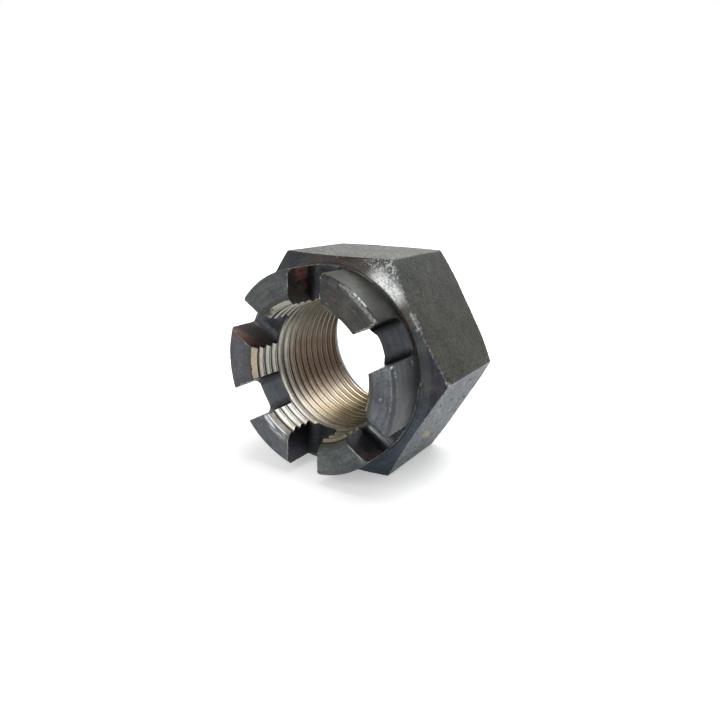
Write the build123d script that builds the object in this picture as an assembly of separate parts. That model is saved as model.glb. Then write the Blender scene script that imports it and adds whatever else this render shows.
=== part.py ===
"""Castle nut for an M30 x 2 thread, forged and turned in one piece.

The nut lies on one flat of its hexagon, as it comes to rest. The axis of the thread runs along Y, the
bearing face is at y = 0 and looks along +Y, and the crown points along -Y. The origin is on the
thread's axis, in the plane of the bearing face. All lengths are in millimetres, all angles in degrees.
"""
from build123d import *

import os
from math import cos, radians, tan

# Hexagon, which the spanner holds
across_flats = 46.0
hexagon_height = 24.0
side_count = 6

# Cones that bevel the hexagon's corners, sloping from the plane of the face
bearing_bevel_diameter = 47.8
bearing_bevel_angle = 28.0
shoulder_angle = 25.0

# Crown, the turned collar that the slots divide
crown_diameter = 42.7
total_height = 33.0
crown_root_radius = 0.3
crown_tip_chamfer = 0.8

# Thread, left as a plain bore of the thread's minor diameter
thread_diameter = 30.0
thread_pitch = 2.0
thread_flank_angle = 60.0

# Countersinks that lead into the thread, with their slope from the axis; a shallow ring is turned
# round the one in the crown
bearing_mouth_diameter = 32.4
bearing_mouth_angle = 30.0
crown_mouth_diameter = 30.6
crown_mouth_angle = 45.0
crown_ring_diameter = 32.4
crown_ring_depth = 0.45

# Slots for the cotter pin, which follow the flats but for a small turn about the axis
slot_count = 6
slot_width = 7.6
slot_floor_height = 24.8
slot_corner_radius = 1.8
slot_turn = 2.0

# How far a cutter runs past the metal that it cuts
cutter_overrun = 2.0

corner_radius = across_flats / 2 / cos(radians(180 / side_count))
crown_radius = crown_diameter / 2
bearing_bevel_radius = bearing_bevel_diameter / 2
bearing_mouth_radius = bearing_mouth_diameter / 2
crown_mouth_radius = crown_mouth_diameter / 2
crown_ring_radius = crown_ring_diameter / 2

# The crests of an internal thread lie five eighths of the sharp triangle's height inside its diameter
thread_triangle_height = thread_pitch / 2 / tan(radians(thread_flank_angle / 2))
minor_radius = thread_diameter / 2 - 5 / 8 * thread_triangle_height


def turned_blank():
    """The round blank: two cones that will bevel the corners, the crown, and the countersunk bore."""
    blank_radius = corner_radius + cutter_overrun
    bearing_edge = (blank_radius - bearing_bevel_radius) * tan(radians(bearing_bevel_angle))
    shoulder_drop = (blank_radius - crown_radius) * tan(radians(shoulder_angle))
    bearing_mouth_depth = (bearing_mouth_radius - minor_radius) / tan(radians(bearing_mouth_angle))
    crown_mouth_drop = (crown_mouth_radius - minor_radius) / tan(radians(crown_mouth_angle))
    crown_root = (crown_radius, -hexagon_height)
    outline = Polyline(
        (bearing_mouth_radius, 0),
        (bearing_bevel_radius, 0),
        (blank_radius, -bearing_edge),
        (blank_radius, shoulder_drop - hexagon_height),
        crown_root,
        (crown_radius, crown_tip_chamfer - total_height),
        (crown_radius - crown_tip_chamfer, -total_height),
        (crown_ring_radius, -total_height),
        (crown_mouth_radius, crown_ring_depth - total_height),
        (minor_radius, crown_ring_depth + crown_mouth_drop - total_height),
        (minor_radius, -bearing_mouth_depth),
        close=True,
    )
    profile = make_face(outline)
    root_corner = profile.vertices().sort_by_distance(Vector(*crown_root))[0]
    profile = fillet(root_corner, crown_root_radius)
    return revolve(profile, Axis.Y)


def hexagon_prism():
    """The bar that gives the blank its flats, with one flat underneath and one on top."""
    hexagon = RegularPolygon(across_flats / 2, side_count, major_radius=False)
    return extrude(Plane.XZ * hexagon, total_height)


def slot_cutters():
    """One cutter for each slot, from the axis outwards, with rounded corners along the slot's floor."""
    depth = total_height + cutter_overrun - slot_floor_height
    section = Pos(0, -slot_floor_height - depth / 2) * Rectangle(slot_width, depth)
    section = fillet(section.vertices().group_by(Axis.Y)[-1], slot_corner_radius)
    cutter = extrude(section, corner_radius + cutter_overrun)
    return [Rot(0, slot_turn + 360 / slot_count * turn, 0) * cutter for turn in range(slot_count)]


castle_nut = turned_blank() & hexagon_prism()
for cutter in slot_cutters():
    castle_nut -= cutter

os.makedirs("parts", exist_ok=True)
export_step(castle_nut, "parts/castle_nut.step")
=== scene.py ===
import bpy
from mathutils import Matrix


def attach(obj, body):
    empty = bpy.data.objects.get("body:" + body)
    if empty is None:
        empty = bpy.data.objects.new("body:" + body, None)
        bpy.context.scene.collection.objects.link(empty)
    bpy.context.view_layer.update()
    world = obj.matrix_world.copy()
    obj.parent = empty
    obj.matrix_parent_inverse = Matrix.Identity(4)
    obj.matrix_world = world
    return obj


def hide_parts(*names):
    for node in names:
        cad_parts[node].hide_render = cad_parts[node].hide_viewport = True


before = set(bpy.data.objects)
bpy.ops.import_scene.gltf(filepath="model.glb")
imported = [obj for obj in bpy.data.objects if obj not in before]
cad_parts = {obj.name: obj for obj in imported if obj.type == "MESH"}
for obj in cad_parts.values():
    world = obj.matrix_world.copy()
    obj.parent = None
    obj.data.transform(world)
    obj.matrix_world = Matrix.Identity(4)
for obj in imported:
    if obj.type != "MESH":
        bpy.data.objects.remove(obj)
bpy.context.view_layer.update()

from math import cos, pi, radians, sin, sqrt, tan

import bmesh
import bpy
import numpy as np
from mathutils import Matrix, Vector

# The nut: one forging of medium carbon steel. The hexagon and the crown are turned, six slots are
# milled across the crown for the cotter pin, and the M30 x 2 thread is tapped last. It lies on one flat,
# with the axis of its thread along Y, the bearing face at y = 0 and the crown towards -Y.
MM = 0.001
across_flats = 46.0
hexagon_height = 24.0
total_height = 33.0
crown_radius = 21.35
crown_tip_chamfer = 0.8
crown_root_radius = 0.3
crown_root_steps = 6
shoulder_angle = radians(25)
bearing_bevel_radius = 23.9
bearing_bevel_angle = radians(28)
bearing_mouth_radius = 16.2
bearing_mouth_angle = radians(30)
crown_mouth_radius = 15.3
crown_ring_radius = 16.2
crown_ring_depth = 0.45
bore_centre = (0.4, 0.2)
turning_steps = 360

# The hole is drilled narrower than the thread's crests, so that the tap cuts all of its wall
drilled_radius = 13.0

# How far the blank and the tools that cut it run past the finished nut
overrun = 2.0
corner_reach = across_flats / 2 / cos(pi / 6)
blank_radius = corner_reach + overrun


def new_piece(name, points, faces):
    """A closed mesh from points in millimetres, with its faces turned outwards."""
    mesh = bpy.data.meshes.new(name)
    mesh.from_pydata([[value * MM for value in point] for point in points], [], faces)
    shell = bmesh.new()
    shell.from_mesh(mesh)
    bmesh.ops.recalc_face_normals(shell, faces=shell.faces)
    shell.to_mesh(mesh)
    shell.free()
    piece = bpy.data.objects.new(name, mesh)
    bpy.context.scene.collection.objects.link(piece)
    return piece


def apply_modifiers(piece):
    """Bakes the piece's modifiers into its mesh."""
    evaluated = piece.evaluated_get(bpy.context.evaluated_depsgraph_get())
    mesh = bpy.data.meshes.new_from_object(evaluated)
    piece.modifiers.clear()
    old_mesh = piece.data
    piece.data = mesh
    bpy.data.meshes.remove(old_mesh)


def machine(piece, tool, operation):
    """Cuts the piece with a tool, or keeps only what it shares with it, and takes the tool away."""
    cut = piece.modifiers.new(operation, "BOOLEAN")
    cut.operation = operation
    cut.object = tool
    cut.solver = "MANIFOLD"
    apply_modifiers(piece)
    bpy.data.objects.remove(tool)


def turned(name, outline, bored):
    """A ring turned about the Y axis from (radius, y) points, the first ones round the bore's centre."""
    points = []
    faces = []
    count = len(outline)
    for step in range(turning_steps):
        angle = 2 * pi * step / turning_steps
        following = (step + 1) % turning_steps
        for corner, (radius, y) in enumerate(outline):
            centre = bore_centre if corner < bored else (0, 0)
            points.append((centre[0] + radius * cos(angle), y, centre[1] + radius * sin(angle)))
            beside = (corner + 1) % count
            faces.append((
                step * count + corner,
                step * count + beside,
                following * count + beside,
                following * count + corner,
            ))
    return new_piece(name, points, faces)


def bar(name, start, end):
    """A bar that runs from one outline to another like it, each a list of points."""
    count = len(start)
    faces = [tuple(range(count)), tuple(range(count, 2 * count))]
    for corner in range(count):
        beside = (corner + 1) % count
        faces.append((corner, beside, count + beside, count + corner))
    return new_piece(name, start + end, faces)


# The outline that is turned: the bore with its countersinks first, then round the outside from the
# bearing face over the bevel, the shoulder and the crown's root to its tip
shoulder_drop = (blank_radius - crown_radius) * tan(shoulder_angle)
bearing_drop = (blank_radius - bearing_bevel_radius) * tan(bearing_bevel_angle)
mouth_depth = crown_ring_depth + crown_mouth_radius - drilled_radius
outline = [
    (crown_ring_radius, -total_height),
    (crown_mouth_radius, crown_ring_depth - total_height),
    (drilled_radius, mouth_depth - total_height),
    (drilled_radius, (drilled_radius - bearing_mouth_radius) / tan(bearing_mouth_angle)),
    (bearing_mouth_radius, 0),
]
bored = len(outline)
outline += [
    (bearing_bevel_radius, 0),
    (blank_radius, -bearing_drop),
    (blank_radius, shoulder_drop - hexagon_height),
]
root_turn = pi / 2 - shoulder_angle
root_reach = crown_root_radius * tan(root_turn / 2)
for step in range(crown_root_steps + 1):
    turn = root_turn * step / crown_root_steps
    outline.append((
        crown_radius + crown_root_radius - crown_root_radius * cos(root_turn - turn),
        -hexagon_height - root_reach + crown_root_radius * sin(root_turn - turn),
    ))
outline += [
    (crown_radius, crown_tip_chamfer - total_height),
    (crown_radius - crown_tip_chamfer, -total_height),
]
nut = turned("castle_nut_steel", outline, bored)
corners = [(corner_reach * cos(pi / 3 * side), corner_reach * sin(pi / 3 * side)) for side in range(6)]
ends = [[(x, y, z) for x, z in corners] for y in (overrun, -total_height - overrun)]
machine(nut, bar("hexagon_bar", *ends), "INTERSECT")

# The slots are milled in three passes straight across the crown, a little off its centre, with the
# rounded corners of the cutter along their floors.
slot_width = 7.6
slot_floor = 24.8
slot_corner_radius = 1.8
slot_corner_steps = 8
slot_turn = radians(-2)
slot_centre = (-0.22, -0.59)

half = slot_width / 2
section = [(half, -total_height - overrun), (half, -slot_floor - slot_corner_radius)]
for step in range(1, slot_corner_steps + 1):
    turn = pi / 2 * step / slot_corner_steps
    section.append((
        half - slot_corner_radius + slot_corner_radius * cos(turn),
        -slot_floor - slot_corner_radius + slot_corner_radius * sin(turn),
    ))
section += [(-across, y) for across, y in reversed(section)]
slot_angles = [slot_turn + pi / 6 + pi / 3 * number for number in range(3)]
for angle in slot_angles:
    ends = []
    for reach in (-blank_radius, blank_radius):
        ends.append([(
            slot_centre[0] + reach * cos(angle) - across * sin(angle),
            y,
            slot_centre[1] + reach * sin(angle) + across * cos(angle),
        ) for across, y in section])
    machine(nut, bar("slot_cutter", *ends), "DIFFERENCE")

# Handling has broken every edge a little, and the forged flats are not quite flat. The mesh is made
# even, its edges are eased, and it is pushed in by dents and unevenness, never out past the true size.
voxel = 0.2
even = nut.modifiers.new("even", "REMESH")
even.mode = "VOXEL"
even.voxel_size = voxel * MM
ease = nut.modifiers.new("ease", "SMOOTH")
ease.factor = 0.5
ease.iterations = 4
apply_modifiers(nut)


def read(items, name):
    """The named vectors of a mesh's points or faces, one in each row."""
    values = np.empty(len(items) * 3)
    items.foreach_get(name, values)
    return values.reshape(-1, 3)


# Each dent runs from one point to another, in millimetres, with its reach and its depth
dents = [
    ((7.0, -33.0, 19.4), (8.2, -33.0, 18.8), 0.9, 0.2),
    ((10.6, -33.0, 13.2), (11.3, -33.0, 14.8), 0.35, 0.08),
    ((11.9, -33.0, 15.1), (12.8, -33.0, 14.8), 0.5, 0.15),
    ((20.0, -33.0, 6.2), (19.6, -33.0, 5.2), 0.8, 0.3),
    ((14.6, -33.0, -14.6), (14.8, -33.0, -14.0), 0.8, 0.25),
    ((-4.2, -33.0, -20.6), (-3.6, -33.0, -20.8), 0.8, 0.3),
    ((20.7, -26.6, 5.0), (20.8, -26.3, 4.6), 0.7, 0.2),
    ((21.6, -24.0, -0.1), (21.6, -24.0, -0.5), 0.6, 0.15),
    ((-5.4, -2.1, 23.0), (-4.2, -2.2, 23.0), 0.7, 0.15),
    ((19.4, -23.3, 12.1), (20.0, -23.2, 10.9), 0.8, 0.25),
    ((25.4, -21.4, 1.9), (25.9, -21.3, 1.0), 0.9, 0.3),
]
mesh = nut.data
points = read(mesh.vertices, "co") / MM
normals = read(mesh.vertex_normals, "vector")
for start, end, reach, dent_depth in dents:
    stroke = np.array(end) - np.array(start)
    along = np.clip((points - np.array(start)) @ stroke / (stroke @ stroke), 0, 1)
    distance = np.linalg.norm(points - np.array(start) - along[:, None] * stroke, axis=1)
    points -= normals * (dent_depth * np.clip(1 - (distance / reach) ** 2, 0, 1) ** 2)[:, None]
mesh.vertices.foreach_set("co", (points * MM).ravel())
mesh.update()

# Two kinds of unevenness, both pushed inwards: broad waves of the forging and the fine grain of its
# scale, each with the size of its patches and its depth in millimetres
for name, patch, push_depth in (("forging", 5.0, 0.12), ("scale", 0.9, 0.05)):
    pattern = bpy.data.textures.new(name, "CLOUDS")
    pattern.noise_scale = patch * MM
    pattern.noise_depth = 2
    push = nut.modifiers.new(name, "DISPLACE")
    push.texture = pattern
    push.texture_coords = "LOCAL"
    push.mid_level = 1.0
    push.strength = push_depth * MM
kept_share = 0.28
thin = nut.modifiers.new("thin", "DECIMATE")
thin.ratio = kept_share
apply_modifiers(nut)

# How far each point stands proud of its neighbours tells where an edge is worn bright, and how far it
# lies below them tells where the surface is darkened.
mesh = nut.data
count = len(mesh.vertices)
points = read(mesh.vertices, "co")
normals = read(mesh.vertex_normals, "vector")
pairs = np.empty(len(mesh.edges) * 2, dtype=np.int64)
mesh.edges.foreach_get("vertices", pairs)
first, second = pairs.reshape(-1, 2).T
offset = points[first] - points[second]
length = np.linalg.norm(offset, axis=1)
proud = np.bincount(first, np.einsum("ij,ij->i", normals[first], offset) / length, count)
proud -= np.bincount(second, np.einsum("ij,ij->i", normals[second], offset) / length, count)
proud /= np.bincount(first, minlength=count) + np.bincount(second, minlength=count)
edge = mesh.attributes.new("edge", "FLOAT", "POINT")
edge.data.foreach_set("value", proud)

# The thread is tapped right through: M30 x 2, right-handed, in bare cut steel. The tap is a screw whose
# ridge is given as (distance along the axis, radius) points, with its flanks at 60 degrees.
thread_radius = 15.0
thread_pitch = 2.0
thread_height = thread_pitch / 2 / tan(pi / 6)
crest_radius = thread_radius - 5 / 8 * thread_height
thread_start = 0.15
steps_per_turn = 144
tap_overrun = 4.0

# The ridge is set back a little along the axis, to where the photograph shows the thread's turns
set_back = 0.1
ridge = [
    (0.0, crest_radius),
    (0.2, crest_radius),
    (0.27, crest_radius + 0.04),
    (0.84, thread_radius - 0.02),
    (0.92, thread_radius + 0.05),
    (1.08, thread_radius + 0.05),
    (1.16, thread_radius - 0.02),
    (1.73, crest_radius + 0.04),
    (1.8, crest_radius),
]
ridge = [(along - set_back, radius) for along, radius in ridge]
turns = int((total_height + 2 * tap_overrun) / thread_pitch)
tap_start = thread_start - total_height - tap_overrun
points = []
for step in range(turns * steps_per_turn + 1):
    angle = 2 * pi * step / steps_per_turn
    lead = tap_start + thread_pitch * step / steps_per_turn
    for along, radius in ridge:
        points.append((
            bore_centre[0] + radius * cos(angle),
            lead + along,
            bore_centre[1] - radius * sin(angle),
        ))
count = len(ridge)
last = turns * steps_per_turn
faces = []
for step in range(last):
    for corner in range(count - 1):
        here = step * count + corner
        faces.append((here, here + 1, here + 1 + count, here + count))
    if step + steps_per_turn < last:
        here = step * count + count - 1
        above = (step + steps_per_turn) * count
        faces.append((here, above, above + count, here + count))

# Each end of the tap is closed by a fan of faces round a point on its axis
low_centre = len(points)
points.append((bore_centre[0], tap_start, bore_centre[1]))
high_centre = len(points)
points.append((bore_centre[0], tap_start + thread_pitch * (turns + 0.5), bore_centre[1]))
for step in range(steps_per_turn):
    faces.append((low_centre, step * count, (step + 1) * count))
    top = (last - steps_per_turn + step) * count + count - 1
    faces.append((high_centre, top, top + count))
low_end = list(range(count)) + [steps_per_turn * count]
high_end = [(last - steps_per_turn) * count + count - 1]
high_end += [last * count + corner for corner in range(count)]
for centre, rim in ((low_centre, low_end), (high_centre, high_end)):
    for here, beside in zip(rim, rim[1:]):
        faces.append((centre, here, beside))
machine(nut, new_piece("tap", points, faces), "DIFFERENCE")

# Slivers that the tap leaves are dissolved, and faces that then lie back to back are taken away.
sliver = 0.003
shell = bmesh.new()
shell.from_mesh(nut.data)
bmesh.ops.dissolve_degenerate(shell, edges=shell.edges, dist=sliver * MM)
bmesh.ops.triangulate(shell, faces=shell.faces)
same_corners = {}
for face in shell.faces:
    same_corners.setdefault(frozenset(face.verts), []).append(face)
doubled = [face for group in same_corners.values() if len(group) > 1 for face in group]
bmesh.ops.delete(shell, geom=doubled, context="FACES")
shell.to_mesh(nut.data)
shell.free()

# The faces that the tap cut lie on its thread or, at the crown, on the countersink that leads into it.
# They are bare steel, and all others keep their dark skin.
nearness = 0.06
most_sideways = 0.35
mouth_end = -31.0
mouth_slack = 0.1
most_forwards = 0.9

mesh = nut.data
x, y, z = read(mesh.polygons, "center").T / MM
x -= bore_centre[0]
z -= bore_centre[1]
normals = read(mesh.polygons, "normal")
out = np.hypot(x, z)
lead = tap_start + thread_pitch * np.arctan2(-z, x) / (2 * pi)
ridge_along, ridge_radius = np.array(ridge).T
profile = np.interp(y - lead, ridge_along, ridge_radius, period=thread_pitch)
inwards = np.abs(normals[:, 2] * x - normals[:, 0] * z) / out < most_sideways
mouths = (out < crown_mouth_radius - mouth_slack) & (y < mouth_end) & (-normals[:, 1] < most_forwards)
tapped = ((np.abs(out - profile) < nearness) | mouths) & inwards

# Faces that meet at less than this angle are shaded as one smooth surface
sharp_from = radians(38)
for polygon in nut.data.polygons:
    polygon.use_smooth = True
nut.data.set_sharp_from_angle(angle=sharp_from)


def linear(hex_colour):
    """The linear colour of an sRGB hex value."""
    channels = [int(hex_colour[place:place + 2], 16) / 255 for place in (1, 3, 5)]
    return [c / 12.92 if c <= 0.04045 else ((c + 0.055) / 1.055) ** 2.4 for c in channels] + [1.0]


def add_node(tree, kind, inputs=(), output=0, **settings):
    """Adds a node with its settings, sets or links its inputs, and gives back one of its outputs."""
    node = tree.nodes.new("ShaderNode" + kind)
    for name, value in settings.items():
        setattr(node, name, value)
    for socket, value in dict(inputs).items():
        if isinstance(value, bpy.types.NodeSocket):
            tree.links.new(value, node.inputs[socket])
        else:
            node.inputs[socket].default_value = value
    return node.outputs[output]


def smooth_step(tree, value, start, end):
    """Rises from 0 to 1 as the value goes from start to end."""
    limits = {"Value": value, "From Min": start, "From Max": end}
    return add_node(tree, "MapRange", limits, interpolation_type="SMOOTHSTEP")


def times(tree, *factors):
    """The product of several masks."""
    product = factors[0]
    for factor in factors[1:]:
        product = add_node(tree, "Math", {0: product, 1: factor}, operation="MULTIPLY")
    return product


def strongest(tree, *masks):
    """The highest of several masks at each point."""
    highest = masks[0]
    for mask in masks[1:]:
        highest = add_node(tree, "Math", {0: highest, 1: mask}, operation="MAXIMUM")
    return highest


def blend(tree, share, under, over, how="MIX"):
    """One colour laid over another by a share of 0 to 1."""
    sockets = {0: share, 6: under, 7: over}
    return add_node(tree, "Mix", sockets, output=2, data_type="RGBA", blend_type=how)


def within(tree, value, middle, reach, soft):
    """1 where the value lies within reach of the middle, falling off over a soft border."""
    distance = add_node(tree, "Math", {0: value, 1: middle}, operation="SUBTRACT")
    distance = add_node(tree, "Math", {0: distance}, operation="ABSOLUTE")
    return smooth_step(tree, distance, reach + soft, reach)


def strokes(tree, place, marks):
    """Soft marks, each drawn from one point to another with its reach and its strength."""
    masks = []
    for start, end, reach, strength in marks:
        stroke = Vector(end) - Vector(start)
        per_length = stroke / stroke.length_squared
        along = add_node(tree, "VectorMath", {0: place, 1: start}, operation="SUBTRACT")
        sockets = {0: along, 1: per_length}
        share = add_node(tree, "VectorMath", sockets, output="Value", operation="DOT_PRODUCT")
        share = add_node(tree, "Clamp", {0: share})
        nearest = add_node(tree, "VectorMath", {0: stroke, "Scale": share}, operation="SCALE")
        gap = add_node(tree, "VectorMath", {0: along, 1: nearest}, output="Value", operation="DISTANCE")
        masks.append(times(tree, smooth_step(tree, gap, reach, reach * 0.3), strength))
    return strongest(tree, *masks)


# Forged medium carbon steel with a hot black oxide film under a little oil: a dark grey metal, olive
# where the skin of the forging is left and bluish where it was turned, rubbed bright along its edges.
blackened = bpy.data.materials.new("oil_blackened_steel")
blackened.use_nodes = True
tree = blackened.node_tree
shader = tree.nodes["Principled BSDF"]
where = add_node(tree, "TexCoord", output="Object")
place = add_node(tree, "VectorMath", {0: where, "Scale": 1 / MM}, operation="SCALE")
axes = add_node(tree, "SeparateXYZ", {0: place}).node.outputs
facing = add_node(tree, "TexCoord", output="Normal")
facing = add_node(tree, "SeparateXYZ", {0: facing}).node.outputs
from_axis = add_node(tree, "VectorMath", {0: place, 1: (1, 0, 1)}, operation="MULTIPLY")
radius = add_node(tree, "VectorMath", {0: from_axis}, output="Value", operation="LENGTH")
bore_middle = (bore_centre[0], 0, bore_centre[1])
from_bore = add_node(tree, "VectorMath", {0: from_axis, 1: bore_middle}, operation="SUBTRACT")
bore_radius = add_node(tree, "VectorMath", {0: from_bore}, output="Value", operation="LENGTH")
angle = add_node(tree, "Math", {0: axes["Z"], 1: axes["X"]}, operation="ARCTAN2")
turn = add_node(tree, "MapRange", {"Value": angle, "From Min": -pi, "From Max": pi})
degrees = add_node(tree, "Math", {0: angle, 1: 180 / pi}, operation="MULTIPLY")
depth = axes["Y"]

# Grain of the scaled skin about 0.45 mm across, clouds of 6 mm, and the turning tool's marks, which are
# 0.1 mm apart on the nut but drawn 0.35 mm apart so that they show
grain = add_node(tree, "TexNoise", {"Vector": place, "Scale": 1 / 0.45, "Detail": 3.0, "Roughness": 0.6})
clouds = add_node(tree, "TexNoise", {"Vector": place, "Scale": 1 / 6.0, "Detail": 4.0, "Roughness": 0.6})
wander = add_node(tree, "TexNoise", {"Vector": place, "Scale": 1 / 1.6, "Detail": 3.0}, output="Color")
wander = add_node(tree, "VectorMath", {0: wander, 1: (0.5, 0.5, 0.5)}, operation="SUBTRACT")
wander = add_node(tree, "VectorMath", {0: wander, "Scale": 1.6}, operation="SCALE")
ragged = add_node(tree, "VectorMath", {0: place, 1: wander}, operation="ADD")
around = add_node(tree, "CombineXYZ", {0: radius, 1: depth, 2: times(tree, angle, 0.6)})
rings = add_node(tree, "TexNoise", {"Vector": around, "Scale": 1 / 0.35, "Detail": 2.0})

# The parts of the nut, told apart by height, by which way they face and by the slots' own lines. The
# slots' film ends just past their walls, and their rounded corners begin 1 to 2 mm inside them.
crown = smooth_step(tree, depth, -24.2, -24.7)
front = smooth_step(tree, facing["Y"], -0.55, -0.8)
crown_side = times(tree, smooth_step(tree, radius, 20.5, 21.0), smooth_step(tree, radius, 21.7, 21.5))
from_slots = []
in_slots = []
in_corners = []
for slot_angle in slot_angles:
    line = (-sin(slot_angle), 0, cos(slot_angle))
    shift = line[0] * slot_centre[0] + line[2] * slot_centre[1]
    distance = add_node(tree, "VectorMath", {0: place, 1: line}, output="Value", operation="DOT_PRODUCT")
    distance = add_node(tree, "Math", {0: distance, 1: shift}, operation="SUBTRACT")
    distance = add_node(tree, "Math", {0: distance}, operation="ABSOLUTE")
    from_slots.append(distance)
    in_slot = smooth_step(tree, distance, half + 0.22, half + 0.06)
    in_slots.append(in_slot)
    in_corners.append(times(tree, in_slot, smooth_step(tree, distance, half - 1.9, half - 1.1)))
slots = times(tree, strongest(tree, *in_slots), crown)
slot_floors = times(tree, slots, smooth_step(tree, depth, -26.2, -25.4))
slot_corner_shade = times(tree, strongest(tree, *in_corners), crown, smooth_step(tree, depth, -27.4, -26.4))

# The film's colour on the six flats, and on the faces and the outer sides of the six parts that the
# slots leave of the crown, each list going round from -180 degrees. These colours hold painted light:
# the flat at the lower right is lighter as a painted reflection of the floor, the one at the upper
# right is darker as painted shade, and the crown's outer side is darker round 12 and 1 o'clock as
# painted shade.
flat_colours_painted_light = ["#56564F", "#5A5B57", "#646A6E", "#3E3F39", "#62635F", "#56564F"]
merlon_colours = ["#45464A", "#55585C", "#565A59", "#525559", "#383836", "#464848", "#45464A"]
side_colours_painted_shade = ["#4C4D4A", "#4A4C4E", "#4A4C4E", "#4B4D50", "#2A2A26", "#42423C", "#4C4D4A"]
ramps = []
for colours, starts in (
    (flat_colours_painted_light, [side / 6 for side in range(6)]),
    (merlon_colours, [0] + [(2 * side + 1) / 12 for side in range(6)]),
    (side_colours_painted_shade, [0] + [(2 * side + 1) / 12 for side in range(6)]),
):
    ramp = add_node(tree, "ValToRGB", {0: turn})
    stops = ramp.node.color_ramp
    stops.interpolation = "CONSTANT"
    stops.elements.remove(stops.elements[1])
    stops.elements[0].color = linear(colours[0])
    for colour, start in list(zip(colours, starts))[1:]:
        stops.elements.new(start).color = linear(colour)
    ramps.append(ramp)
flat_film_painted_light, merlon_film, crown_side_film_painted_shade = ramps

# The shoulder is bluish below, dark beside the flats at the right, and scorched brown near the top and
# at the upper right; the crown's faces are stained, and the bore's mouths are dark
blued = within(tree, degrees, -75.0, 45.0, 28.0)
shoulder_film = blend(tree, blued, linear("#35383A"), linear("#3F474F"))
shaded = times(tree, smooth_step(tree, radius, 22.8, 23.6), within(tree, degrees, 4.0, 22.0, 14.0))
shoulder_film = blend(tree, times(tree, shaded, 0.75), shoulder_film, linear("#29282E"))
scorched = times(tree, within(tree, degrees, 80.0, 8.0, 22.0), 0.9)
shoulder_film = blend(tree, scorched, shoulder_film, linear("#322E2C"))
heated = times(tree, within(tree, degrees, 36.0, 4.0, 7.0), 0.55)
shoulder_film = blend(tree, heated, shoulder_film, linear("#3D342F"))
stains = add_node(tree, "TexNoise", {"Vector": place, "Scale": 1 / 3.5, "Detail": 4.0, "Roughness": 0.65})
stains = smooth_step(tree, stains, 0.54, 0.42)
merlon_film = blend(tree, times(tree, stains, 0.4), merlon_film, linear("#34373D"))
turned_film = blend(tree, crown, shoulder_film, merlon_film)
side_film = blend(tree, crown, flat_film_painted_light, crown_side_film_painted_shade)
upper_right = times(tree, within(tree, degrees, 30.0, 28.0, 2.0), smooth_step(tree, axes["Z"], 9.0, 21.0))
side_film = blend(tree, times(tree, upper_right, 0.25), side_film, linear("#40464A"))
film = blend(tree, front, side_film, turned_film)
bearing = smooth_step(tree, facing["Y"], 0.6, 0.8)
film = blend(tree, bearing, film, linear("#484A4B"))
inside = times(tree, smooth_step(tree, bore_radius, 16.4, 16.2), smooth_step(tree, front, 1.0, 0.0))
film = blend(tree, inside, film, linear("#3B3A37"))

# Mottling, grain and tool marks lighten and darken the film
mottle = smooth_step(tree, clouds, 0.3, 0.7)
fleck = smooth_step(tree, grain, 0.33, 0.67)
turned_marks = smooth_step(tree, rings, 0.3, 0.7)
turned_or_crown = strongest(tree, front, bearing, crown)
tone = add_node(tree, "MapRange", {"Value": mottle, "To Min": 0.82, "To Max": 1.18})
grain_tone = add_node(tree, "MapRange", {"Value": fleck, "To Min": 0.58, "To Max": 1.42})
fine_grain = add_node(tree, "MapRange", {"Value": fleck, "To Min": 0.88, "To Max": 1.12})
grain_tone = add_node(tree, "Mix", {0: turned_or_crown, 2: grain_tone, 3: fine_grain}, data_type="FLOAT")
ring_tone = add_node(tree, "MapRange", {"Value": turned_marks, "To Min": 0.86, "To Max": 1.14})
mark_tone = add_node(tree, "Mix", {0: turned_or_crown, 2: 1.0, 3: ring_tone}, data_type="FLOAT")

# The top flat and the one at the lower right are pitted by scale, in specks of about a millimetre.
# Their lighter specks are painted glints.
blotches = add_node(tree, "TexNoise", {"Vector": place, "Scale": 1 / 1.1, "Detail": 4.0, "Roughness": 0.7})
blotches = smooth_step(tree, blotches, 0.38, 0.62)
on_top = smooth_step(tree, facing["Z"], 0.85, 0.97)
rough_flats = strongest(tree, on_top, within(tree, degrees, -30.0, 28.0, 2.0))
flats = smooth_step(tree, turned_or_crown, 1.0, 0.0)
rough_flats = times(tree, rough_flats, flats)
blotch_low = add_node(tree, "MapRange", {"Value": rough_flats, "To Min": 0.93, "To Max": 0.8})
blotch_high = add_node(tree, "MapRange", {"Value": rough_flats, "To Min": 1.07, "To Max": 1.2})
blotch_tone = add_node(tree, "Mix", {0: blotches, 2: blotch_low, 3: blotch_high}, data_type="FLOAT")
tone = times(tree, tone, blotch_tone, grain_tone, mark_tone)
specks = add_node(tree, "TexNoise", {"Vector": place, "Scale": 1 / 0.85, "Detail": 2.0, "Roughness": 0.7})
pits = smooth_step(tree, specks, 0.4, 0.33)
pits = add_node(tree, "MapRange", {"Value": pits, "To Min": 1.0, "To Max": 0.66})
glints = smooth_step(tree, specks, 0.6, 0.67)
glints = add_node(tree, "MapRange", {"Value": glints, "To Min": 1.0, "To Max": 1.4})
speck_tone = add_node(tree, "Mix", {0: flats, 2: 1.0, 3: times(tree, pits, glints)}, data_type="FLOAT")
tone = times(tree, tone, speck_tone)
film = blend(tree, 1.0, film, tone, "MULTIPLY")
oily_clouds = times(tree, smooth_step(tree, clouds, 0.5, 0.75), 0.35)
film = blend(tree, oily_clouds, film, linear("#4E463A"))
dark_specks = times(tree, rough_flats, smooth_step(tree, specks, 0.43, 0.36), 0.45)
film = blend(tree, dark_specks, film, linear("#161616"))
painted_glint_specks = times(tree, rough_flats, smooth_step(tree, specks, 0.57, 0.64), 0.12)
film = blend(tree, painted_glint_specks, film, linear("#8A8C88"))
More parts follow.
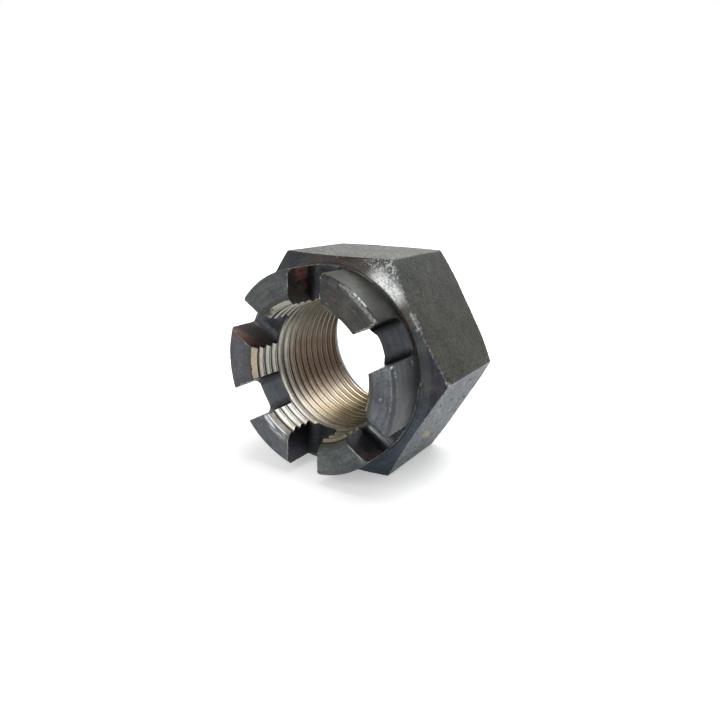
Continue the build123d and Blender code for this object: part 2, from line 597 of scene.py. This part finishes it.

# The milled slots have walls that are brownish above and blue-black below, and floors that are lighter
# at the left as painted light. Painted shade darkens the corners between walls and floors, and the
# walls towards the bore.
lower = smooth_step(tree, axes["Z"], -3.0, -8.0)
wall_film = blend(tree, lower, linear("#504A45"), linear("#43444A"))
floor_film = blend(tree, smooth_step(tree, axes["X"], -8.0, -14.0), linear("#36383B"), linear("#44474C"))
slot_film = blend(tree, slot_floors, wall_film, floor_film)
slot_film = blend(tree, times(tree, slot_corner_shade, 0.5), slot_film, linear("#1E1E1F"))
slot_film = blend(tree, 1.0, slot_film, tone, "MULTIPLY")
slot_shade_towards_bore = times(tree, smooth_step(tree, bore_radius, 18.5, 15.5), smooth_step(tree, slot_floors, 1.0, 0.0))
slot_film = blend(tree, times(tree, slot_shade_towards_bore, 0.5), slot_film, linear("#29292C"))
film = blend(tree, slots, film, slot_film)

# Edges that stand proud are rubbed bright in patches, but hardly on the crown's tip at 2 and 3 o'clock
# or inside the bore's mouths
edge = add_node(tree, "Attribute", output="Fac", attribute_name="edge")
rubbed = smooth_step(tree, edge, 0.07, 0.22)
patchy = add_node(tree, "Math", {0: clouds, 1: grain}, operation="ADD")
patchy = add_node(tree, "MapRange", {"Value": patchy, "From Min": 0.8, "From Max": 1.25})
at_three = times(tree, within(tree, degrees, -4.0, 20.0, 6.0), smooth_step(tree, depth, -31.7, -32.0))
at_two = times(tree, within(tree, degrees, 28.0, 12.0, 4.0), smooth_step(tree, depth, -32.0, -31.0))
spared = add_node(tree, "MapRange", {"Value": at_three, "To Min": 1.0, "To Max": 0.15})
rubbed = times(tree, rubbed, smooth_step(tree, inside, 1.2, 0.0))
rubbed = times(tree, rubbed, smooth_step(tree, at_two, 1.2, 0.0))
rubbed = times(tree, rubbed, patchy, spared)

# The shoulder is rubbed bright beside the crown round 53 degrees, and speckled further out. This bright
# band is partly a painted highlight.
cone = times(tree, front, smooth_step(tree, crown, 1.0, 0.0))
inner_band = times(tree, smooth_step(tree, radius, 24.6, 22.7), within(tree, degrees, 53.5, 5.0, 10.0))
outer_band = times(tree, smooth_step(tree, radius, 22.6, 23.6), within(tree, degrees, 59.0, 4.0, 12.0))
brushed = add_node(tree, "MapRange", {"Value": turned_marks, "To Min": 0.5, "To Max": 0.72})
speckled = times(tree, smooth_step(tree, grain, 0.42, 0.66), 0.5)
flecked = smooth_step(tree, grain, 0.34, 0.6)
flecked = add_node(tree, "MapRange", {"Value": flecked, "To Min": 0.55, "To Max": 1.2})
brushed = times(tree, brushed, flecked)
sparse = times(tree, within(tree, degrees, 68.0, 4.0, 7.0), smooth_step(tree, grain, 0.45, 0.68), 0.04)
shoulder_wear_and_highlight = strongest(tree, times(tree, inner_band, brushed), times(tree, outer_band, speckled), sparse)
shoulder_wear_and_highlight = times(tree, shoulder_wear_and_highlight, cone)

# So is the ring round the thread's mouth at 7 o'clock, with a clean line along its inner edge. Its
# brightness is partly a painted highlight.
at_seven = within(tree, degrees, -124.0, 8.0, 8.0)
wisps = add_node(tree, "CombineXYZ", {0: bore_radius, 1: times(tree, angle, 3.0)})
wisps = add_node(tree, "TexNoise", {"Vector": wisps, "Scale": 1 / 0.6, "Detail": 2.0})
ring_wear_and_highlight = times(tree, within(tree, bore_radius, 16.3, 0.2, 0.7), smooth_step(tree, wisps, 0.34, 0.6), 0.72)
ring_edge = within(tree, bore_radius, 15.35, 0.05, 0.09)
ring_edge = times(tree, ring_edge, smooth_step(tree, grain, 0.2, 0.5), 0.85)
ring_wear_and_highlight = times(tree, strongest(tree, ring_wear_and_highlight, ring_edge), at_seven, crown, front)

# At 3 o'clock the chamfer is a dark band between two fine bright edges
inner_line = within(tree, radius, 20.42, 0.06, 0.12)
outer_line = within(tree, radius, 21.3, 0.05, 0.12)
chamfer_edges = times(tree, strongest(tree, inner_line, outer_line), at_three)
chamfer_edges = times(tree, chamfer_edges, smooth_step(tree, grain, 0.4, 0.62), 0.14)
chamfer_band = times(tree, within(tree, radius, 20.85, 0.1, 0.2), at_three, mottle, 0.5)

# Small bright knocks and scratches, and a row of them where the shoulder meets the upper right flat
bright_marks = [
    ((8.9, -32.5, 19.0), (11.5, -32.5, 17.6), 0.5, 0.3),
    ((11.4, -32.3, 17.9), (12.2, -32.3, 17.4), 0.35, 0.8),
    ((12.7, -32.3, 17.0), (14.3, -32.3, 15.8), 0.4, 0.9),
    ((11.2, -32.5, 17.6), (16.1, -32.5, 13.5), 0.6, 0.35),
    ((15.9, -32.7, 13.7), (16.6, -32.5, 13.2), 0.5, 0.9),
    ((20.0, -33.0, 5.2), (20.7, -32.4, 5.6), 0.5, 0.9),
    ((20.6, -32.4, 5.4), (20.9, -32.3, 3.6), 0.3, 0.4),
    ((20.0, -23.2, 11.3), (20.9, -22.9, 9.9), 0.35, 0.6),
    ((22.6, -22.6, 6.9), (23.2, -22.4, 5.9), 0.3, 0.4),
    ((19.1, -23.1, 13.0), (20.2, -23.1, 10.9), 1.1, 0.5),
    ((26.1, -21.7, 0.7), (26.5, -21.4, -0.2), 0.8, 0.5),
    ((18.0, -33.0, -1.2), (18.2, -33.0, -1.0), 0.4, 0.3),
    ((20.0, -33.0, -2.3), (20.2, -33.0, -2.1), 0.3, 0.3),
    ((21.6, -24.0, 0.1), (21.6, -24.0, -0.3), 0.4, 0.8),
    ((3.6, -32.7, -14.7), (5.5, -32.6, -14.3), 0.3, 0.5),
    ((-4.6, -33.0, -16.1), (-5.1, -33.0, -20.0), 0.25, 0.4),
    ((21.2, -16.3, -8.7), (21.7, -15.9, -8.1), 0.6, 0.3),
]
first_knock = 12.0
knock_length = 3.1
flat_reach = across_flats / 2
for step in range(8):
    ends = []
    for along in (first_knock - knock_length * step, first_knock - knock_length * (step + 1)):
        rise = (sqrt(flat_reach ** 2 + along ** 2) - crown_radius) * tan(shoulder_angle)
        ends.append((
            flat_reach * cos(pi / 6) - along * sin(pi / 6),
            rise - hexagon_height,
            flat_reach * sin(pi / 6) + along * cos(pi / 6),
        ))
    bright_marks.append((ends[0], ends[1], 0.4, 0.32))
knocks = times(tree, strokes(tree, place, bright_marks), smooth_step(tree, grain, 0.3, 0.62))

# A smear of scratches along one slot's floor, and bright lines along the crown's edges
smear_marks = [((11.4, -25.2, -10.8), (15.5, -24.9, -12.7), 1.2, 0.45)]
scratches = add_node(tree, "CombineXYZ", {0: from_slots[2], 1: depth})
scratches = add_node(tree, "TexNoise", {"Vector": scratches, "Scale": 1 / 0.45, "Detail": 2.0})
scratched = smooth_step(tree, scratches, 0.4, 0.6)
smears = times(tree, strokes(tree, place, smear_marks), scratched)
line_marks = [
    ((10.9, -33.0, -11.8), (12.3, -33.0, -12.8), 0.5, 1.0),
    ((12.3, -33.0, -12.8), (14.6, -33.0, -14.4), 0.45, 0.6),
    ((5.9, -33.0, 15.3), (7.6, -33.0, 14.0), 0.28, 0.45),
]
lines = strokes(tree, place, line_marks)
bright = strongest(tree, rubbed, shoulder_wear_and_highlight, ring_wear_and_highlight, chamfer_edges, knocks, smears, lines)
metal = blend(tree, bright, film, linear("#A6A8A6"))

# Red and brown rust, most of it in the slots
rust_marks = [
    ((-3.6, -29.6, 19.8), (-3.6, -28.2, 19.4), 2.0, 1.0),
    ((-3.4, -28.9, 17.2), (-3.4, -28.2, 16.6), 1.6, 0.5),
    ((-17.7, -32.4, 6.6), (-15.5, -31.7, 5.2), 1.8, 0.9),
    ((-15.0, -31.2, 4.9), (-14.1, -30.4, 4.4), 1.5, 0.6),
    ((-19.4, -31.6, 6.9), (-18.0, -29.4, 6.0), 2.4, 0.6),
    ((15.5, -28.5, -14.2), (15.7, -30.7, -14.3), 1.9, 0.6),
    ((14.2, -31.3, -13.5), (13.8, -31.3, -13.1), 1.6, 0.5),
    ((1.2, -23.5, 22.6), (1.5, -23.5, 22.5), 0.5, 0.9),
    ((2.4, -23.6, 22.0), (3.4, -23.6, 21.9), 0.7, 0.35),
    ((6.6, -33.0, 17.2), (7.3, -33.0, 16.3), 1.1, 0.25),
    ((16.2, -13.0, -17.9), (17.2, -13.0, -16.2), 0.7, 0.5),
]
rust = strokes(tree, ragged, rust_marks)
rust = times(tree, rust, smooth_step(tree, grain, 0.35, 0.6))
rust_colour = blend(tree, fleck, linear("#351B17"), linear("#6B3229"))
metal = blend(tree, rust, metal, rust_colour)

# Darker brown in the corner between the crown and the shoulder, on the crown's side just above it,
# most towards the top, and in small hollows
hollow = smooth_step(tree, edge, -0.04, -0.16)
corner = add_node(tree, "CombineXYZ", {0: radius, 1: depth})
corner_place = (crown_radius, -hexagon_height, 0)
sockets = {0: corner, 1: corner_place}
corner_gap = add_node(tree, "VectorMath", sockets, output="Value", operation="DISTANCE")
root = smooth_step(tree, corner_gap, 0.34, 0.12)
collar = times(tree, smooth_step(tree, depth, -26.8, -24.2), smooth_step(tree, front, 1.0, 0.0))
collar = times(tree, collar, crown_side, smooth_step(tree, depth, -23.4, -23.9), 0.5)
upper_crown = smooth_step(tree, degrees, -10.0, 40.0)
upper_crown = add_node(tree, "MapRange", {"Value": upper_crown, "To Min": 0.45})
collar = times(tree, collar, upper_crown)
hollow = strongest(tree, times(tree, hollow, 0.35), times(tree, root, 0.75), collar)
metal = blend(tree, hollow, metal, linear("#1C1714"))
metal = blend(tree, chamfer_band, metal, linear("#262626"))
# Dark marks: dirt on the flats and in dents, and painted shade over the floor and the corner of the slot
# at 10 o'clock
dirt_and_shade_marks = [
    ((-19.6, -29.5, 7.1), (-15.6, -27.4, 4.6), 3.2, 0.85),
    ((20.8, -26.4, 5.4), (21.1, -26.6, 3.2), 0.5, 0.75),
    ((21.7, -3.9, -8.4), (21.4, -2.8, -9.0), 0.5, 0.8),
    ((23.4, -18.8, -5.5), (23.0, -17.6, -6.1), 0.4, 0.7),
    ((23.1, -13.2, -6.0), (22.7, -11.9, -6.7), 0.4, 0.7),
    ((25.3, -9.6, -2.2), (25.0, -8.6, -2.7), 0.4, 0.6),
    ((-5.6, -1.2, 23.0), (-3.6, -1.3, 23.0), 0.5, 0.7),
]
dirt_and_shade = strokes(tree, place, dirt_and_shade_marks)
metal = blend(tree, dirt_and_shade, metal, linear("#1A1817"))

# On the flat at the lower right a patch is scraped bare, and the lip of the thread's mouth is grimy
bare_marks = [((18.5, -15.4, -13.9), (17.3, -11.2, -16.1), 1.4, 0.85)]
bared = times(tree, strokes(tree, place, bare_marks), smooth_step(tree, specks, 0.36, 0.5))
metal = blend(tree, bared, metal, linear("#9C9274"))
mouth = times(tree, smooth_step(tree, bore_radius, 16.3, 15.7), crown, smooth_step(tree, ring_wear_and_highlight, 0.3, 0.0))
mouth = times(tree, mouth, smooth_step(tree, slots, 1.0, 0.0), smooth_step(tree, at_seven, 1.0, 0.0))
browned = times(tree, smooth_step(tree, axes["X"], -11.0, -14.0), smooth_step(tree, axes["Z"], 3.0, -2.0))
mouth_dirt = blend(tree, browned, linear("#3E3F39"), linear("#43372F"))
metal = blend(tree, times(tree, mouth, 0.75), metal, mouth_dirt)
tree.links.new(metal, shader.inputs["Base Color"])

# Rust, dirt and the painted shade over one slot are dull and not metallic, and worn places are smoother
# than the film. The grain, the tool marks and the scale's pits stand out a little.
dull = strongest(tree, rust, dirt_and_shade)
rusted = add_node(tree, "MapRange", {"Value": dull, "To Min": 1.0, "To Max": 0.1})
tree.links.new(rusted, shader.inputs["Metallic"])
limits = {"Value": grain, "From Min": 0.3, "From Max": 0.7, "To Min": 0.4, "To Max": 0.52}
rough = add_node(tree, "MapRange", limits)
rough = add_node(tree, "Math", {0: rough, 1: times(tree, rough_flats, 0.12)}, operation="ADD")
rough = add_node(tree, "Mix", {0: bright, 2: rough, 3: 0.36}, data_type="FLOAT")
rough = add_node(tree, "Mix", {0: dull, 2: rough, 3: 0.85}, data_type="FLOAT")
tree.links.new(rough, shader.inputs["Roughness"])
relief = add_node(tree, "Mix", {0: turned_or_crown, 2: fleck, 3: turned_marks}, data_type="FLOAT")
relief = add_node(tree, "Math", {0: relief, 1: fleck}, operation="ADD")
pitting = add_node(tree, "Math", {0: blotches, 1: smooth_step(tree, specks, 0.36, 0.6)}, operation="ADD")
relief = add_node(tree, "Math", {0: relief, 1: times(tree, pitting, rough_flats, 6.0)}, operation="ADD")
bump = add_node(tree, "Bump", {"Height": relief, "Strength": 0.5, "Distance": 0.02 * MM})
tree.links.new(bump, shader.inputs["Normal"])

# Bare steel as the tap left it: a warm grey metal, with old brown oil and painted shade in the roots of
# the thread. In the upper part of the bore the oil has dried to a gum, and the steel hardly shines there.
bare = bpy.data.materials.new("tapped_bare_steel")
bare.use_nodes = True
tree = bare.node_tree
shader = tree.nodes["Principled BSDF"]
where = add_node(tree, "TexCoord", output="Object")
place = add_node(tree, "VectorMath", {0: where, "Scale": 1 / MM}, operation="SCALE")
from_axis = add_node(tree, "VectorMath", {0: place, 1: (1, 0, 1)}, operation="MULTIPLY")
from_bore = add_node(tree, "VectorMath", {0: from_axis, 1: bore_middle}, operation="SUBTRACT")
radius = add_node(tree, "VectorMath", {0: from_bore}, output="Value", operation="LENGTH")
clouds = add_node(tree, "TexNoise", {"Vector": place, "Scale": 1 / 5.0, "Detail": 3.0, "Roughness": 0.6})
grain = add_node(tree, "TexNoise", {"Vector": place, "Scale": 1 / 0.4, "Detail": 3.0, "Roughness": 0.6})
ragged = add_node(tree, "MapRange", {"Value": clouds, "To Min": -4.0, "To Max": 4.0})
axes = add_node(tree, "SeparateXYZ", {0: from_bore}).node.outputs
angle = add_node(tree, "Math", {0: axes["Z"], 1: axes["X"]}, operation="ARCTAN2")
turn = add_node(tree, "MapRange", {"Value": angle, "From Min": -pi, "From Max": pi})
turn = add_node(tree, "Math", {0: turn, 1: times(tree, ragged, 0.008)}, operation="ADD")
depth = add_node(tree, "SeparateXYZ", {0: place}, output="Y")
deep = smooth_step(tree, add_node(tree, "Math", {0: depth, 1: ragged}, operation="ADD"), -28.0, -17.0)

# Its colour round the bore at these angles, at the crown's end, far inside and on the countersink. The
# cream band from -137 to -112 degrees is a painted highlight, and the darker colours far inside are
# painted shade.
bore_colour_angles = [-180, -150, -137, -125, -112, -97, -60, 60, 110, 150, 180]
mouth_colours_painted_light = [
    "#8F8D87", "#8A8882", "#A3A19C", "#ABA9A4", "#A09D94", "#7F7B70", "#74715F", "#8B897E", "#B8B8AD",
    "#B5B4AA", "#8F8D87",
]
far_colours_painted_light = [
    "#5F5246", "#625347", "#8A7D6F", "#B3A693", "#AA997D", "#70634B", "#625E4D", "#78755F", "#8B8977",
    "#7F7B70", "#5F5246",
]
cone_colours = [
    "#938877", "#787063", "#605C57", "#605C57", "#54524B", "#42433C", "#42433C", "#45463F", "#A3A397",
    "#8C897C", "#938877",
]
ramps = []
for colours in (mouth_colours_painted_light, far_colours_painted_light, cone_colours):
    ramp = add_node(tree, "ValToRGB", {0: turn})
    stops = ramp.node.color_ramp
    stops.elements[0].color = linear(colours[0])
    stops.elements[1].color = linear(colours[-1])
    for colour, degrees_round in list(zip(colours, bore_colour_angles))[1:-1]:
        stops.elements.new((degrees_round + 180) / 360).color = linear(colour)
    ramps.append(ramp)
steel = blend(tree, deep, ramps[0], ramps[1])
cone_sum = add_node(tree, "Math", {0: radius, 1: depth}, operation="ADD")
cone_face = within(tree, cone_sum, crown_ring_depth + crown_mouth_radius - total_height, 0.1, 0.1)
steel = blend(tree, cone_face, steel, ramps[2])

# The countersink is scored by the tool, and the thread's roots are darkened as painted shade, over a
# wider band in the upper part of the bore, where its crests are dark as well
scored = add_node(tree, "CombineXYZ", {0: radius, 1: times(tree, angle, 0.8)})
scored = add_node(tree, "TexNoise", {"Vector": scored, "Scale": 1 / 0.3, "Detail": 1.0})
scored = times(tree, cone_face, smooth_step(tree, scored, 0.5, 0.4))
scored = times(tree, scored, smooth_step(tree, axes["Z"], 4.0, 9.0), 0.6)
steel = blend(tree, scored, steel, linear("#4A4740"))
limits = {"Value": grain, "From Min": 0.25, "From Max": 0.75, "To Min": 0.75, "To Max": 1.25}
tone = add_node(tree, "MapRange", limits)
steel = blend(tree, 1.0, steel, tone, "MULTIPLY")
upper = smooth_step(tree, axes["Z"], 4.0, 10.0)
gummed = times(tree, upper, smooth_step(tree, depth, -26.0, -14.0))
steel = blend(tree, gummed, steel, linear("#968F7A"))
brown_patches = times(tree, gummed, smooth_step(tree, clouds, 0.4, 0.6), 0.5)
steel = blend(tree, brown_patches, steel, linear("#7D6A58"))
root_oil_and_shade = smooth_step(tree, radius, 14.35, 14.75)
root_oil_and_shade = strongest(tree, root_oil_and_shade, times(tree, smooth_step(tree, radius, 14.25, 14.55), upper))
lined = times(tree, upper, smooth_step(tree, gummed, 0.5, 0.1))
root_oil_and_shade = strongest(tree, root_oil_and_shade, times(tree, smooth_step(tree, radius, 14.06, 14.26), lined))
root_oil_and_shade = times(tree, root_oil_and_shade, smooth_step(tree, cone_face, 1.0, 0.0))
crests = times(tree, smooth_step(tree, radius, 14.1, 13.95), gummed, 0.6)
steel = blend(tree, crests, steel, linear("#4F4B3E"))
root_oil_and_shade = times(tree, root_oil_and_shade, add_node(tree, "MapRange", {"Value": gummed, "To Min": 0.93, "To Max": 0.6}))
steel = blend(tree, root_oil_and_shade, steel, linear("#1D1612"))
tree.links.new(steel, shader.inputs["Base Color"])
clean = add_node(tree, "MapRange", {"Value": gummed, "To Min": 1.0, "To Max": 0.2})
tree.links.new(clean, shader.inputs["Metallic"])
limits = {"Value": grain, "From Min": 0.3, "From Max": 0.7, "To Min": 0.28, "To Max": 0.38}
rough = add_node(tree, "MapRange", limits)
rims = times(tree, within(tree, depth, -24.4, 0.5, 0.5), smooth_step(tree, radius, 14.3, 14.1))
duller = times(tree, strongest(tree, upper, rims), 0.3)
rough = add_node(tree, "Math", {0: rough, 1: duller}, operation="ADD")
tree.links.new(rough, shader.inputs["Roughness"])

nut.data.materials.clear()
nut.data.materials.append(blackened)
nut.data.materials.append(bare)
nut.data.polygons.foreach_set("material_index", tapped.astype(np.int32))
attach(nut, "root")
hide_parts("castle_nut")

# The floor: a wide sheet of matt white paper that the nut lies on. It keeps the nut's shadow near by,
# and from 6 to 25 cm away it lifts to plain white.
floor_reach = 3.0
floor_height = -across_flats / 2 * MM
lift_start = 0.06
lift_end = 0.25
least_lift = 0.35
sheet = [(-1, -1), (1, -1), (1, 1), (-1, 1)]
mesh = bpy.data.meshes.new("floor")
mesh.from_pydata([(x * floor_reach, y * floor_reach, floor_height) for x, y in sheet], [], [(0, 1, 2, 3)])
floor = bpy.data.objects.new("floor", mesh)
bpy.context.scene.collection.objects.link(floor)
paper = bpy.data.materials.new("white_paper")
paper.use_nodes = True
tree = paper.node_tree
shader = tree.nodes["Principled BSDF"]
shader.inputs["Base Color"].default_value = linear("#E6E6E6")
shader.inputs["Roughness"].default_value = 0.9
path = add_node(tree, "LightPath").node.outputs
seen = strongest(tree, path["Is Camera Ray"], path["Is Glossy Ray"], path["Is Transmission Ray"])
where = add_node(tree, "TexCoord", output="Object")
distance = add_node(tree, "VectorMath", {0: where}, output="Value", operation="LENGTH")
limits = {"Value": distance, "From Min": lift_start, "From Max": lift_end, "To Min": least_lift}
lift = times(tree, seen, add_node(tree, "MapRange", limits))
tree.links.new(lift, shader.inputs["Emission Strength"])
shader.inputs["Emission Color"].default_value = (1, 1, 1, 1)
floor.data.materials.append(paper)

# The surroundings: an even white studio, which the camera and the shining metal see as plain white. As
# a light it is weaker, so that the lamps shape the nut.
world = bpy.data.worlds.new("studio")
bpy.context.scene.world = world
world.use_nodes = True
tree = world.node_tree
background = tree.nodes["Background"]
background.inputs["Color"].default_value = (1, 1, 1, 1)
path = add_node(tree, "LightPath").node.outputs
seen = strongest(tree, path["Is Camera Ray"], path["Is Glossy Ray"], path["Is Transmission Ray"])
strength = add_node(tree, "MapRange", {"Value": seen, "To Min": 0.45, "To Max": 1.0})
tree.links.new(strength, background.inputs["Strength"])


# The lamps: three large round softboxes, one before the crown and a little above it, one overhead and
# one behind that lights the bearing face.
def softbox(name, direction, distance, size, power):
    """A round lamp that looks at the nut, placed by direction and distance in metres."""
    lamp = bpy.data.lights.new(name, "AREA")
    lamp.shape = "DISK"
    lamp.size = size
    lamp.energy = power
    holder = bpy.data.objects.new(name, lamp)
    bpy.context.scene.collection.objects.link(holder)
    holder.location = Vector(direction).normalized() * distance
    holder.rotation_euler = (-holder.location).to_track_quat("-Z", "Y").to_euler()


softbox("key", (-0.03, -0.9, 0.42), 0.6, 0.55, 2.2)
softbox("top", (0.1, 0.1, 1.0), 0.7, 0.5, 3.0)
softbox("back", (0.02, 0.75, 0.67), 0.6, 0.35, 1.6)

# The camera: solved from the nut's edges in the photograph. It looks 34 degrees across the thread's
# axis and 17 degrees down, with the lens given in pixels of the square picture.
azimuth = radians(34.24)
elevation = radians(16.60)
roll = radians(0.37)
lens_pixels = 590.9
image_side = 720
sensor_width = 36
camera_place = (72.0, -118.76, 36.65)
camera_data = bpy.data.cameras.new("camera")
camera_data.sensor_width = sensor_width
camera_data.lens = lens_pixels / image_side * sensor_width
camera_data.clip_start = 0.01
camera = bpy.data.objects.new("camera", camera_data)
bpy.context.scene.collection.objects.link(camera)
forward = Vector((-sin(azimuth) * cos(elevation), cos(azimuth) * cos(elevation), -sin(elevation)))
level = forward.cross(Vector((0, 0, 1))).normalized()
upright = level.cross(forward)
right = level * cos(roll) + upright * sin(roll)
up = right.cross(forward)
stand = Matrix((right, up, -forward)).transposed().to_4x4()
stand.translation = Vector(camera_place) * MM
camera.matrix_world = stand
bpy.context.scene.camera = camera
bpy.context.scene.view_settings.view_transform = "Standard"
